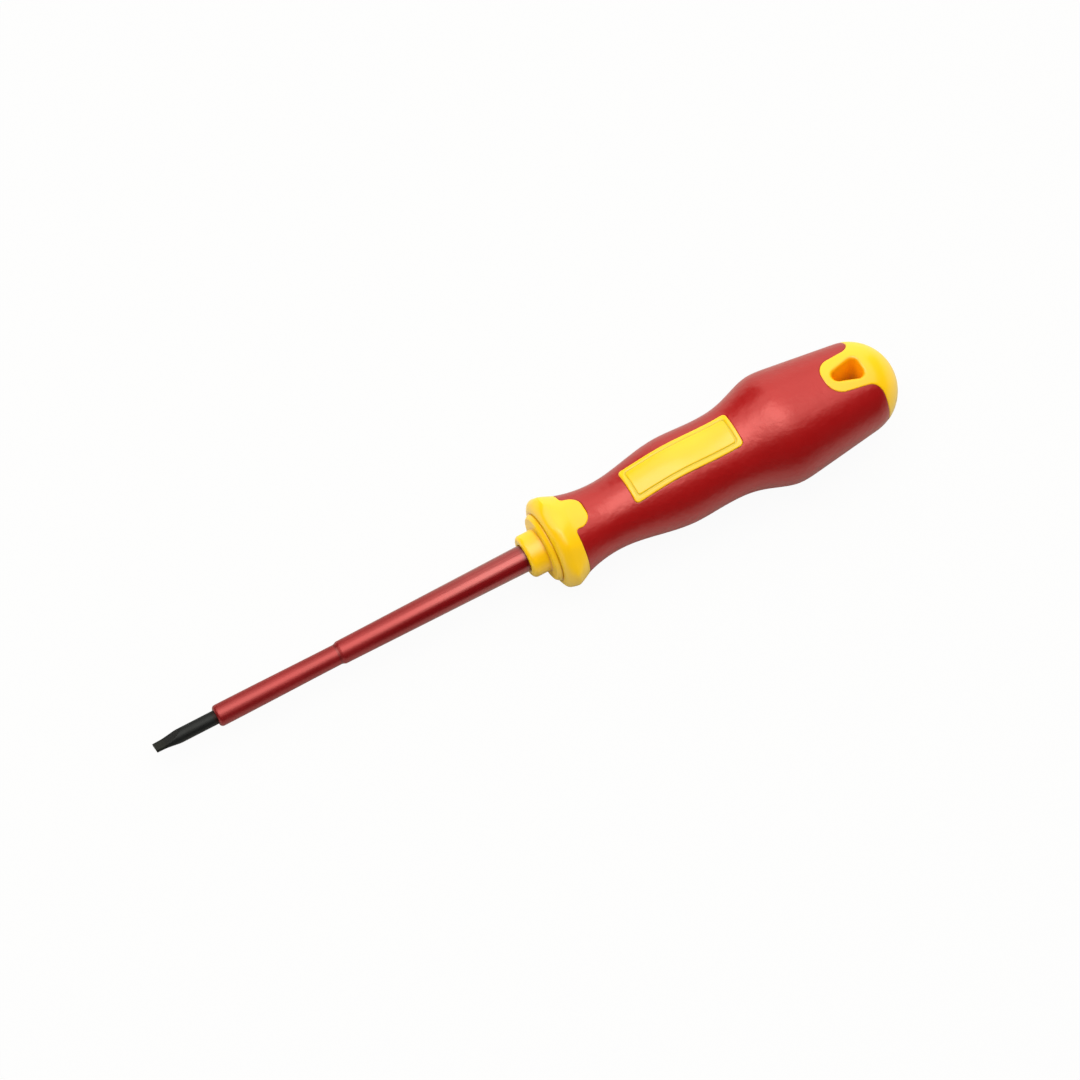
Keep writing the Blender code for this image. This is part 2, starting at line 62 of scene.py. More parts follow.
# Insulation on the blade
BARE_TIP = 16.3
INNER_FRONT_RADIUS = 2.75
INNER_REAR_RADIUS = 2.55
INNER_EDGE_ROUND = 0.9
INNER_TAPER_SHARE = 0.9
INNER_BORE_GAP = 0.05
INNER_LIP_DEPTH = 0.5
INNER_LIP_SETBACK = 0.08
INNER_LIP_RISE = 0.12
OUTER_LENGTH = 51
OUTER_FRONT_RADIUS = 2.925
OUTER_REAR_RADIUS = 3.4
OUTER_RAMP = 1.1
OUTER_LIP = 0.05
OUTER_BITE = 0.03
INSULATION_DEPTH = 11

# Outline of the handle
HANDLE_LENGTH = 102.7
NOSE_RADIUS = 5.5
NOSE_LENGTH = 4.7
NOSE_ROUND = 1.1
NOSE_MOUTH = 0.12
NOSE_MOUTH_ROUND = 0.3
NOSE_RECESS = 2.5
PLATE_RADIUS = 8.45
PLATE_REAR_RADIUS = 8.9
PLATE_THICKNESS = 1.25
PLATE_ROUND = 0.45
PLATE_REAR_ROUND = 0.25
GUARD_RADIUS = 12.45
GUARD_FRONT = 2.8
GUARD_ROUND = 3.6
GUARD_HALF_FLATS = 11.95
GUARD_FLAT_SETBACK = 2.5
GUARD_FLAT_TAPER = math.radians(20)
GUARD_FLAT_CROWN = 0.6
GUARD_BLEND = 0.35
CREASE_ROUND = 0.3
FLARE_RADIUS = 31
WAIST = (22.4, 8.7)
SWELL = (42.5, 11.35)
SADDLE = (52.5, 10.95)
BELLY = (70, 14.55)
BELLY_CROWN_RADIUS = 25
BELLY_LATE_RISE = 1.4
BUTT_RADIUS = 11.95
OUTLINE_SMOOTHING = 0.9

# Where the soft grip meets the hard collar and cap
GRIP_WALL = 2
COLLAR_EDGE = 12.4
COLLAR_FAR_EDGE = 13
COLLAR_TURN = math.radians(2.2)
COLLAR_TONGUE_TIP = 17.2
COLLAR_TONGUE_HALF = 4.2
COLLAR_TONGUE_FLARE = 0.3
COLLAR_TONGUE_ROUND = 3.5
COLLAR_ROOT_ROUND = 1
CAP_EDGE = 95.9
CAP_FAR_EDGE = 94.1
CAP_TURN = math.radians(-2.2)
CAP_TONGUE_TIP = 83.2
CAP_TONGUE_HALF = 4.5
CAP_TONGUE_FLARE = 1.3
CAP_TONGUE_ROUND = 4.2
CAP_ROOT_ROUND = 3.2
HARD_EDGE_ROUND = 0.2
SOFT_EDGE_ROUND = 0.12
HARD_RAISE = 0.06
HARD_RAISE_REACH = 6

# Label plates
LABEL_START = 28.7
LABEL_END = 58.5
LABEL_HALF = 4.8
LABEL_CORNER = 1
LABEL_RAISE = 0.32
LABEL_EDGE_ROUND = 0.32
LABEL_RIM = 1.25
LABEL_FIELD_CORNER = 0.8
LABEL_GROOVE_HALF = 0.5
LABEL_GROOVE_DEPTH = 0.22
LABEL_FIELD_DEPTH = 0.06

# Hanging hole
HOLE_REAR = 93.3
HOLE_LENGTH = 7.7
HOLE_HALF = 2.9
HOLE_SIDE = -0.25
HOLE_POINT_RADIUS = 1.6
HOLE_CORNER_RADIUS = 1.5
HOLE_EDGE_ROUND = 0.9

# How far painted shade reaches from seams, creases and the hole
HARD_SEAM_SHADE_REACH = 0.3
SOFT_SEAM_SHADE_REACH = 0.45
CREASE_SHADE_REACH = 0.6
CREASE_SHADE_NEARNESS = 10.0  # held at a crease and less further off; a piece without creases holds 0
HOLE_SHADE_REACH = 0.6

# Stations between which the blade and its insulation change
STEP_SHADE = (0.1, 0.5)  # to either side of the step
MOUTH_SHADE = (-1.2, -0.2)
WORN_STATIONS = (-60.0, -12.0)
GLOSSY_STATIONS = (-36.0, -6.0)
GROUND_STATIONS = (TIP_LAND - BLADE_LENGTH - 1.5, TIP_LAND - BLADE_LENGTH + 2)
SLEEVE_SHADE = (BARE_TIP - BLADE_LENGTH - 1.1, BARE_TIP - BLADE_LENGTH - 0.5)

# Fineness of turned rods and of arcs
ARC_STEP = math.radians(6)
ROD_COLUMNS = 96
LAND_ROWS = 5
ROD_ROWS = 24
INNER_ROWS = 20
RAMP_ROWS = 9
TAPER_FIRST_ROW = 0.04
ROD_FIRST_ROW = 1
INNER_FIRST_ROW = 0.05
OUTER_FIRST_ROW = 0.03
GUARD_ROWS = 16
GUARD_ROWS_TURN = math.radians(60)
DOME_ROWS = 48
HOLE_POINTS = 24
SMOOTHING_SPAN = 2
SMOOTHING_POINTS = 17

# Fineness of trimmed skins: steps along the axis, and angles about it in degrees from the label side
FINE_STEP = 0.2
COARSE_STEP = 1.1
COLLAR_COARSE_STEP = 0.6
CAP_COARSE_STEP = 0.7
LABEL_FINE_STEP = 0.1
LABEL_COARSE_STEP = 0.8
STEP_GROWTH = 0.3
FINE_ANGLE = 0.9
COARSE_ANGLE = 2.5
LABEL_FINE_ANGLE = 0.5
COLLAR_ZONE = (14, 34)
GRIP_ZONE = (15, 38)
LABEL_ZONE = (15, 34)
CAP_ZONE = (0, 36)
LABEL_CUT = math.radians(36)
LABEL_CLOSING = (40, 320)

# How far fine zones and untrimmed skins reach past an edge
CREST_MARGIN = 1
EDGE_MARGIN = 0.8
TONGUE_MARGIN = 0.6
CAP_TONGUE_MARGIN = 1.6
CAP_EDGE_MARGIN = 3.5
LABEL_MARGIN = 0.2
LABEL_RIM_MARGIN = 2
LABEL_OVERLAP = 0.4
SKIN_OVERLAP = 1

# Tolerances and limits
WELD = 1e-4
DEGENERATE = 1e-6
TINY = 1e-12
MATCH_DIGITS = 4
ROW_NUDGE = 0.5 / 4096  # keeps a whole row number whole when it comes out of a division
CREASE_ANGLE = math.radians(38)
REACH = 60  # further off than any edge

# Worked out from the sizes above
PLATE_STATION = NOSE_LENGTH
GUARD_STATION = PLATE_STATION + PLATE_THICKNESS
GUARD_CREST = GUARD_STATION + GUARD_FRONT
BUTT_CENTRE = HANDLE_LENGTH - BUTT_RADIUS


def tool_placement():
    """Matrix from the tool's own frame in millimetres to the frame in metres, by the mount on the tip."""
    mount = next(m for m in frame["record"]["mounts"] if m["name"] == "tip_end")
    along = -Vector(mount["axis"]).normalized()
    side = Vector((0, 1, 0))
    rise = along.cross(side)
    nose = Vector(mount["pos_m"]) + along * BLADE_LENGTH * MM
    turn = Matrix((along, side, rise)).transposed().to_4x4()
    return Matrix.Translation(nose) @ turn @ Matrix.Scale(MM, 4)


PLACE = tool_placement()


# Outlines

def ease(share):
    """Rise smoothly from 0 to 1 as share does."""
    share = np.clip(share, 0, 1)
    return share * share * (3 - 2 * share)


def arc_rise(radius, run):
    """Height that a circle of this radius gains over a run from its lowest point."""
    return radius - np.sqrt(np.maximum(radius ** 2 - run ** 2, 0))


def tail_taper():
    """Slope angle of the tail, the line that touches both the belly's crown and the round butt."""
    run = BUTT_CENTRE - BELLY[0]
    rise = BELLY_CROWN_RADIUS - BELLY[1]
    normal = math.atan2(rise, run) + math.acos((BELLY_CROWN_RADIUS - BUTT_RADIUS) / math.hypot(run, rise))
    return math.pi / 2 - normal


TAPER = tail_taper()
CROWN_END = BELLY[0] + BELLY_CROWN_RADIUS * math.sin(TAPER)
DOME_START = BUTT_CENTRE + BUTT_RADIUS * math.sin(TAPER)


def sharp_outline(station):
    """Outer radius of the handle behind the guard's crest, with a straight flank to the collar's edge."""
    def between(low, high, power=1):
        share = np.clip((station - low[0]) / (high[0] - low[0]), 0, 1)
        return low[1] + (high[1] - low[1]) * ease(share ** power)

    edge = WAIST[1] + arc_rise(FLARE_RADIUS, WAIST[0] - COLLAR_EDGE)
    slope = (GUARD_RADIUS - edge) / (COLLAR_EDGE - GUARD_CREST)
    stretches = [
        (COLLAR_EDGE, edge + slope * (COLLAR_EDGE - station)),
        (WAIST[0], WAIST[1] + arc_rise(FLARE_RADIUS, WAIST[0] - station)),
        (SWELL[0], between(WAIST, SWELL)),
        (SADDLE[0], between(SWELL, SADDLE)),
        (BELLY[0], between(SADDLE, BELLY, BELLY_LATE_RISE)),
        (CROWN_END, BELLY[1] - arc_rise(BELLY_CROWN_RADIUS, station - BELLY[0])),
        (DOME_START, BUTT_RADIUS / math.cos(TAPER) - (station - BUTT_CENTRE) * math.tan(TAPER)),
    ]
    dome = np.sqrt(np.maximum(BUTT_RADIUS ** 2 - (station - BUTT_CENTRE) ** 2, 0))
    ends, radii = zip(*stretches)
    return np.select([station < end for end in ends], radii, dome)


def handle_radius(station):
    """Outer radius of the handle, with the bends between its arcs eased over about a millimetre."""
    station = np.asarray(station, float)
    shares = np.linspace(-SMOOTHING_SPAN, SMOOTHING_SPAN, SMOOTHING_POINTS)
    weights = np.exp(-shares ** 2)
    near_dome = np.clip((DOME_START - station) / (2 * SMOOTHING_SPAN * OUTLINE_SMOOTHING), 0, 1)
    steps = [sharp_outline(station + share * OUTLINE_SMOOTHING * near_dome) for share in shares]
    return np.average(steps, axis=0, weights=weights)


def inner_radius(station):
    """Radius of the line between the grip and the core."""
    return handle_radius(station) - GRIP_WALL


def arc(centre, radius, start, end):
    """Points (station, radius) of an arc in a profile; angles run from straight out towards the butt."""
    count = max(2, math.ceil(abs(end - start) / ARC_STEP))
    angles = np.linspace(start, end, count + 1)
    return [(centre[0] + radius * math.sin(t), centre[1] + radius * math.cos(t)) for t in angles]


def rounded(corners):
    """Closed outline through corners (x, y, radius), each rounded with an arc of that radius."""
    points = []
    for i, (x, y, radius) in enumerate(corners):
        here = Vector((x, y))
        if radius == 0:
            points.append(here)
            continue
        back = (Vector(corners[i - 1][:2]) - here).normalized()
        ahead = (Vector(corners[(i + 1) % len(corners)][:2]) - here).normalized()
        half = back.angle(ahead) / 2
        centre = here + (back + ahead).normalized() * radius / math.sin(half)
        start = here + back * radius / math.tan(half) - centre
        turn = start.angle_signed(here + ahead * radius / math.tan(half) - centre)
        count = max(2, math.ceil(abs(turn) / ARC_STEP))
        points += [centre + Matrix.Rotation(-turn * k / count, 2) @ start for k in range(count + 1)]
    return np.array([tuple(point) for point in points])


def tongued(edges, tip, end, half_tip, half_root, tip_round, root_round):
    """Outline of a region from its end to its near and far edges, with a round tongue between these."""
    near, far = edges
    return rounded([
        (end, -REACH, 0), (near, -REACH, 0), (near, -half_root, root_round), (tip, -half_tip, tip_round),
        (tip, half_tip, tip_round), (far, half_root, root_round), (far, REACH, 0), (end, REACH, 0),
    ])


def label_outline(inset, corner):
    """Outline of a label plate, or of the field inside its rim."""
    start, end, half = LABEL_START + inset, LABEL_END - inset, LABEL_HALF - inset
    places = ((start, -half), (end, -half), (end, half), (start, half))
    return rounded([(x, y, corner) for x, y in places])


def hole_outline():
    """Outline of the hanging hole: circles at its point and two corners, and their tangents."""
    point = HOLE_REAR - HOLE_LENGTH + HOLE_POINT_RADIUS
    corner = HOLE_REAR - HOLE_CORNER_RADIUS
    half = HOLE_HALF - HOLE_CORNER_RADIUS
    narrowing = math.asin((HOLE_POINT_RADIUS - HOLE_CORNER_RADIUS) / math.hypot(corner - point, half))
    side = math.pi / 2 + math.atan2(half, corner - point) - narrowing
    circles = [(corner, half, HOLE_CORNER_RADIUS, 0, side),
               (point, 0, HOLE_POINT_RADIUS, side, 2 * math.pi - side),
               (corner, -half, HOLE_CORNER_RADIUS, 2 * math.pi - side, 2 * math.pi)]
    return np.array([(x + radius * math.cos(t), HOLE_SIDE + y + radius * math.sin(t))
                     for x, y, radius, start, end in circles
                     for t in np.linspace(start, end, HOLE_POINTS)])


COLLAR_REGION = tongued((COLLAR_EDGE, COLLAR_FAR_EDGE), COLLAR_TONGUE_TIP, -REACH, COLLAR_TONGUE_HALF,
                        COLLAR_TONGUE_HALF + COLLAR_TONGUE_FLARE, COLLAR_TONGUE_ROUND, COLLAR_ROOT_ROUND)
CAP_REGION = tongued((CAP_EDGE, CAP_FAR_EDGE), CAP_TONGUE_TIP, HANDLE_LENGTH + REACH, CAP_TONGUE_HALF,
                     CAP_TONGUE_HALF + CAP_TONGUE_FLARE, CAP_TONGUE_ROUND, CAP_ROOT_ROUND)
LABEL_REGION = label_outline(0, LABEL_CORNER)
FIELD_REGION = label_outline(LABEL_RIM, LABEL_FIELD_CORNER)
HOLE_REGION = hole_outline()


def depth_in(outline, x, y):
    """Distance of points inside a closed outline to it, negative outside."""
    nearest = np.full(x.shape, np.inf)
    crossings = np.zeros(x.shape, int)
    for (ax, ay), (bx, by) in zip(outline, np.roll(outline, -1, axis=0)):
        dx, dy = bx - ax, by - ay
        share = np.clip(((x - ax) * dx + (y - ay) * dy) / max(dx * dx + dy * dy, TINY), 0, 1)
        nearest = np.minimum(nearest, np.hypot(x - ax - share * dx, y - ay - share * dy))
        if ay != by:
            crossings += ((ay > y) != (by > y)) & (x < ax + (y - ay) * dx / dy)
    return np.where(crossings % 2 == 1, nearest, -nearest)


def edge_drop(depth, radius):
    """How far a rounded edge has fallen at a depth inside its outline."""
    return arc_rise(radius, np.clip(radius - depth, 0, radius))


def hard_lift(depth):
    """How far a hard moulding stands out at a depth inside its outline: raised at its rounded edge."""
    return HARD_RAISE * ease(1 - depth / HARD_RAISE_REACH) - edge_drop(depth, HARD_EDGE_ROUND)


# Skins turned about the axis and trimmed to an outline

def graded(low, high, fine, coarse, zones):
    """Values from low to high, a fine step apart in the zones and up to a coarse one away from them."""
    values = [low]
    while values[-1] < high:
        gap = min(max(start - values[-1], values[-1] - end, 0) for start, end in zones)
        values.append(values[-1] + min(fine + gap * STEP_GROWTH, coarse))
    values = np.array(values)
    return low + (values - low) * (high - low) / (values[-1] - low)


def around(zone):
    """Angles about the axis from the label side, alike in all four quarters, close together in the zone."""
    quarter = graded(0, 90, FINE_ANGLE, COARSE_ANGLE, [zone])
    half = np.concatenate([quarter, 180 - quarter[-2::-1]])
    return np.radians(np.concatenate([half, 360 - half[-2:0:-1]]))


def trimmed(profile, angles, keep):
    """Faces of the skin turned from a profile, cut where keep(station, radius, angle) falls to zero.

    Returns the station, radius and angle of each corner, and the faces."""
    profile = np.array(profile)
    turns = np.append(angles, angles[0] + 2 * math.pi)
    rows, columns = len(profile), len(angles)
    depth = keep(profile[:, :1] + 0 * angles, profile[:, 1:] + 0 * angles, angles + 0 * profile[:, :1])
    corners, index, faces = [], {}, []

    def corner(key, row, column):
        if key not in index:
            index[key] = len(corners)
            corners.append((row, column))
        return index[key]

    for i in range(rows - 1):
        for j in range(columns):
            ring = [(i, j), (i + 1, j), (i + 1, j + 1), (i, j + 1)]
            keys = [(a, b % columns) for a, b in ring]
            depths = [depth[key] for key in keys]
            if max(depths) <= 0:
                continue
            face = []
            for k in range(4):
                m = (k + 1) % 4
                if depths[k] > 0:
                    face.append(corner(keys[k], *keys[k]))
                if (depths[k] > 0) != (depths[m] > 0):
                    share = depths[k] / (depths[k] - depths[m])
                    cut = [a + (b - a) * share for a, b in zip(ring[k], ring[m])]
                    face.append(corner(tuple(sorted((keys[k], keys[m]))), *cut))
            faces.append(face)
    row, column = np.array(corners).T
    station = np.interp(row, range(rows), profile[:, 0])
    radius = np.interp(row, range(rows), profile[:, 1])
    return station, radius, np.interp(column, range(columns + 1), turns), faces


def inside(outline, station, radius, angle, turn=0):
    """Distance inside an outline that is seen from the label side turned about the axis."""
    return depth_in(outline, station, radius * np.sin(angle - turn))


def turned_points(station, radius, angle):
    """Points (station, side, rise) at a radius and angle about the axis."""
    return np.stack([station, radius * np.sin(angle), radius * np.cos(angle)], axis=1)


def open_edges(faces):
    """Edges that only one face has, in the direction that the face runs."""
    edges = {}
    for face in faces:
        for a, b in zip(face, face[1:] + face[:1]):
            edges[(a, b)] = True
    return [(a, b) for a, b in edges if (b, a) not in edges]


def shell(station, radius, angle, faces, inner):
    """Close a skin into a shell: an inner wall at the inner radii and a rim along its open edges."""
    count = len(station)
    points = np.concatenate([turned_points(station, radius, angle), turned_points(station, inner, angle)])
    walls = [[k + count for k in reversed(face)] for face in faces]
    rims = [[b, a, a + count, b + count] for a, b in open_edges(faces)]
    return points, faces + walls + rims


def through(station, radius, angle, faces, turn):
    """Close a skin that is alike on its label side and its back with walls through it, and turn it."""
    points = turned_points(station, radius, angle)

    def key(x, y, z):
        return round(x, MATCH_DIGITS), round(y, MATCH_DIGITS), round(z, MATCH_DIGITS)

    numbers = {key(*point): k for k, point in enumerate(points)}

    def back(k):
        x, y, z = points[k]
        return numbers[key(x, y, -z)]

    walls = []
    for a, b in open_edges(faces):
        if points[a][2] + points[b][2] > 0:
            wall = [b, a, back(a), back(b)]
            walls.append([k for i, k in enumerate(wall) if k != wall[i - 1]])
    return turned_points(station, radius, angle + turn), faces + walls


# Node trees

class Wire:
    """A socket of a node tree. Sums and products of wires add the Math nodes that work them out."""

    def __init__(self, socket):
        self.socket = socket
        self.tree = socket.id_data

    def node(self, kind, settings=None, inputs=None, output=0):
        """Add another node to the same tree."""
        return add_node(self.tree, kind, settings, inputs, output)

    def math(self, operation, *others):
        """Add a Math node on this wire and other wires or numbers."""
        return self.node("ShaderNodeMath", {"operation": operation}, dict(enumerate((self, *others))))

    def ramp(self, low, high, start=0.0, end=1.0):
        """Go smoothly from start to end as this wire goes from low to high."""
        return self.node("ShaderNodeMapRange", {"interpolation_type": "SMOOTHSTEP"},
                         {"Value": self, "From Min": low, "From Max": high, "To Min": start, "To Max": end})

    def __add__(self, other):
        return self.math("ADD", other)

    def __radd__(self, other):
        return self.math("ADD", other)

    def __sub__(self, other):
        return self.math("SUBTRACT", other)

    def __rsub__(self, other):
        return self.node("ShaderNodeMath", {"operation": "SUBTRACT"}, {0: other, 1: self})

    def __mul__(self, other):
        return self.math("MULTIPLY", other)

    def __truediv__(self, other):
        return self.math("DIVIDE", other)

    def __neg__(self):
        return self.math("MULTIPLY", -1)


def add_node(tree, kind, settings=None, inputs=None, output=0):
    """Add a node of this type, make its settings, feed its sockets and return one of its outputs."""
    node = tree.nodes.new(kind)
    for name, value in (settings or {}).items():
        setattr(node, name, value)
    for name, value in (inputs or {}).items():
        if isinstance(value, Wire):
            tree.links.new(value.socket, node.inputs[name])
        else:
            node.inputs[name].default_value = value
    return Wire(node.outputs[output])


def turned_tree():
    """Node tree that turns a line of points (radius, half thickness, station) about the axis.

    The half thickness is what a grinding wheel leaves between two flats, which lean by the flat turn."""
    tree = bpy.data.node_groups.new("turned_piece", "GeometryNodeTree")
    inputs = [("Geometry", "NodeSocketGeometry"), ("Rows", "NodeSocketInt"), ("Columns", "NodeSocketInt"),
              ("Flat Turn", "NodeSocketFloat"), ("Finish", "NodeSocketMaterial")]
    for name, kind in inputs:
        tree.interface.new_socket(name, in_out="INPUT", socket_type=kind)
    tree.interface.new_socket("Geometry", in_out="OUTPUT", socket_type="NodeSocketGeometry")
    entry = tree.nodes.new("NodeGroupInput")
    line, rows, columns, flat_turn, finish = [Wire(entry.outputs[k]) for k in range(len(inputs))]
    seamed = columns + 1
    sheet = add_node(tree, "GeometryNodeMeshGrid", None, {"Vertices X": rows, "Vertices Y": seamed})
    number = add_node(tree, "GeometryNodeInputIndex")
    row = (number / seamed + ROW_NUDGE).math("FLOOR")
    column = number - row * seamed
    place = add_node(tree, "GeometryNodeInputPosition")
    sample = add_node(tree, "GeometryNodeSampleIndex", {"data_type": "FLOAT_VECTOR", "domain": "POINT"},
                      {"Geometry": line, "Value": place, "Index": row})
    radius, half_thickness, station = [
        sample.node("ShaderNodeSeparateXYZ", None, {"Vector": sample}, k) for k in range(3)]
    angle = column * (2 * math.pi) / columns
    wide = radius * angle.math("COSINE")
    round_side = radius * angle.math("SINE")
    thick = round_side.math("MINIMUM", half_thickness).math("MAXIMUM", -half_thickness)
    side = wide * flat_turn.math("COSINE") + thick * flat_turn.math("SINE")
    rise = thick * flat_turn.math("COSINE") - wide * flat_turn.math("SINE")
    spot = add_node(tree, "ShaderNodeCombineXYZ", None, {"X": station, "Y": side, "Z": rise})
    shaped = add_node(tree, "GeometryNodeSetPosition", None, {"Geometry": sheet, "Position": spot})
    welded = add_node(tree, "GeometryNodeMergeByDistance", None, {"Geometry": shaped, "Distance": WELD})
    real = add_node(tree, "GeometryNodeRealizeInstances", None, {"Geometry": welded})
    done = add_node(tree, "GeometryNodeSetMaterial", None, {"Geometry": real, "Material": finish})
    leave = tree.nodes.new("NodeGroupOutput")
    tree.links.new(done.socket, leave.inputs[0])
    return tree


# Finishes

# Colours in linear light; a pair is a range
YELLOW = ((0.98, 0.635, 0.002), (1.0, 0.665, 0.003))
# Amber painted along the yellow's seams with the red grip: painted shade where the edges meet
YELLOW_SEAM_SHADE = (0.9, 0.36, 0.004)
# Darker amber painted into the creases beside the plate: painted shade
YELLOW_CREASE_SHADE = (0.66, 0.27, 0.002)
# Olive painted into the label's groove: painted shade in the recess
YELLOW_GROOVE_SHADE = (0.62, 0.5, 0.002)
# Orange painted into the hanging hole: painted shade, warmed like light bounced between its yellow walls
YELLOW_HOLE_SHADE = (1.0, 0.36, 0.002)
GRIP = ((0.43, 0.0035, 0.005), (0.46, 0.005, 0.007))
# Dark red painted along the grip's seams: painted shade beside the yellow pieces and the labels
GRIP_SEAM_SHADE = (0.22, 0.008, 0.003)
INSULATION = ((0.30, 0.003, 0.006), (0.33, 0.004, 0.008))
# Dark red painted at the step between the two sleeves: painted shade
INSULATION_STEP_SHADE = (0.14, 0.003, 0.005)
# Near black painted where the sleeve enters the nose: painted shadow
INSULATION_MOUTH_SHADE = (0.12, 0.004, 0.002)
STEEL = ((0.010, 0.0112, 0.0128), (0.019, 0.021, 0.024))
STEEL_GROUND = (0.034, 0.036, 0.032)
# Dark reddish painted on the rod where it enters the sleeve: painted shade with the red of light bounced
# off the sleeve
STEEL_SLEEVE_SHADE = (0.02, 0.006, 0.005)
CORE = ((0.72, 0.52, 0.18), (0.80, 0.62, 0.24))
CLOUD_RANGE = (0.3, 0.7)
GROOVE_SHADE_RANGE = (0.1, 0.9)
ALONG_ROD = (0.03, 1, 1)
ALONG_STEEL = (0.05, 1, 1)
ACROSS_TIP = (1, 0.06, 0.06)

# Sockets of the Mix node's colours
MIX_LOW = 6
MIX_HIGH = 7
MIX_RESULT = 2


def finish_base(name):
    """A new material: its tree, its main shader and its Object coordinates."""
    material = bpy.data.materials.new(name)
    material.use_nodes = True
    tree = material.node_tree
    shader = tree.nodes["Principled BSDF"]
    spot = add_node(tree, "ShaderNodeTexCoord", None, None, "Object")
    return material, shader, spot


def feed(shader, **sockets):
    """Feed sockets of a shader, named with underscores for spaces, from wires or constants."""
    for name, value in sockets.items():
        socket = shader.inputs[name.replace("_", " ")]
        if isinstance(value, Wire):
            shader.id_data.links.new(value.socket, socket)
        else:
            socket.default_value = value


def noise(spot, size, detail=2.0, roughness=0.5):
    """Noise from 0 to 1 with blots of about a size in millimetres."""
    return spot.node("ShaderNodeTexNoise", None,
                     {"Vector": spot, "Scale": 1 / (size * MM), "Detail": detail, "Roughness": roughness})


def attribute(spot, name):
    """A number that the mesh carries at each point."""
    return spot.node("ShaderNodeAttribute", {"attribute_name": name}, None, "Fac")


def streaked(spot, scale):
    """Coordinates drawn out along the axes with a small scale, for noise in streaks."""
    return spot.node("ShaderNodeMapping", None, {"Vector": spot, "Scale": scale})


def tint(share, low, high):
    """Colour between low, a colour or a wire, and the colour high by a share."""
    if not isinstance(low, Wire):
        low = (*low, 1)
    inputs = {"Factor": share, MIX_LOW: low, MIX_HIGH: (*high, 1)}
    return share.node("ShaderNodeMix", {"data_type": "RGBA"}, inputs, MIX_RESULT)


def bumped(height, depth):
    """Normal from a height of 0 to 1 that stands for a depth in millimetres."""
    return height.node("ShaderNodeBump", None, {"Height": height, "Distance": depth * MM})


def moulded_yellow():
    """Hard satin plastic with a fine grain, with amber painted shade in its seams and creases, olive
    painted shade in the label's groove and orange painted shade in the hole.
    """
    material, shader, spot = finish_base("moulded_yellow")
    cloud = noise(spot, size=14, detail=3)
    grain = noise(spot, size=0.22, detail=2)
    # Painted shade: amber along the seams with the red
    seam = attribute(spot, "seam").ramp(0.0, HARD_SEAM_SHADE_REACH, start=0.4, end=0.0)
    # Painted shade in the label's groove
    groove = attribute(spot, "line").ramp(*GROOVE_SHADE_RANGE, start=0.0, end=0.8)
    # Painted shade inside the hanging hole
    hollow = attribute(spot, "hollow") * 0.85
    # Painted shade in the creases beside the plate
    crease = attribute(spot, "crease") - (CREASE_SHADE_NEARNESS - CREASE_SHADE_REACH)
    crease = crease.ramp(0.0, CREASE_SHADE_REACH, start=0.0, end=0.7)
    colour = tint(cloud.ramp(*CLOUD_RANGE), *YELLOW)
    colour = tint(seam, colour, YELLOW_SEAM_SHADE)
    colour = tint(crease, colour, YELLOW_CREASE_SHADE)
    colour = tint(groove, colour, YELLOW_GROOVE_SHADE)
    colour = tint(hollow, colour, YELLOW_HOLE_SHADE)
    feed(shader, Base_Color=colour, Roughness=0.24 + grain * 0.08 + cloud * 0.04,
         Normal=bumped(grain, depth=0.012), Diffuse_Roughness=1.0, Specular_IOR_Level=0.75)
    return material


def soft_grip_red():
    """Soft overmoulding: satin, with a fine grain and a faint mottle, with painted shade along its seams.
    """
    material, shader, spot = finish_base("soft_grip_red")
    cloud = noise(spot, size=18, detail=3)
    grain = noise(spot, size=0.28, detail=3, roughness=0.6)
    mottle = noise(spot, size=1.7, detail=2)
    # Painted shade along the seams
    seam = attribute(spot, "seam").ramp(0.0, SOFT_SEAM_SHADE_REACH, start=0.45, end=0.0)
    colour = tint(cloud.ramp(*CLOUD_RANGE), *GRIP)
    colour = tint(seam, colour, GRIP_SEAM_SHADE)
    feed(shader, Base_Color=colour, Roughness=0.21 + grain * 0.1 + cloud * 0.05 + mottle * 0.06,
         Normal=bumped(grain + mottle * 5.0, depth=0.02), Metallic=0.21, Specular_IOR_Level=0.82)
    return material


def insulation_red():
    """Extruded insulation with faint draw marks: duller towards the tip, glossy at the nose, with painted
    shade at the step and a painted shadow where it enters the nose.
    """
    material, shader, spot = finish_base("insulation_red")
    marks = noise(streaked(spot, ALONG_ROD), size=0.5, detail=3)
    cloud = noise(spot, size=9, detail=2)
    station = attribute(spot, "station")
    step = (station + OUTER_LENGTH).math("ABSOLUTE")
    colour = tint(cloud.ramp(*CLOUD_RANGE), *INSULATION)
    # Painted shade to either side of the step between the sleeves
    colour = tint(step.ramp(*STEP_SHADE, start=0.5, end=0.0), colour, INSULATION_STEP_SHADE)
    # Painted shadow where the sleeve enters the nose
    colour = tint(station.ramp(*MOUTH_SHADE, start=0.0, end=0.6), colour, INSULATION_MOUTH_SHADE)
    worn = station.ramp(*WORN_STATIONS, start=0.33, end=0.2)
    feed(shader, Base_Color=colour, Roughness=worn + marks * 0.08 + cloud * 0.05,
         Normal=bumped(marks, depth=0.012), Metallic=0.42, Specular_IOR_Level=1.0,
         Coat_Weight=station.ramp(*GLOSSY_STATIONS, start=0.0, end=0.6), Coat_Roughness=0.15)
    return material


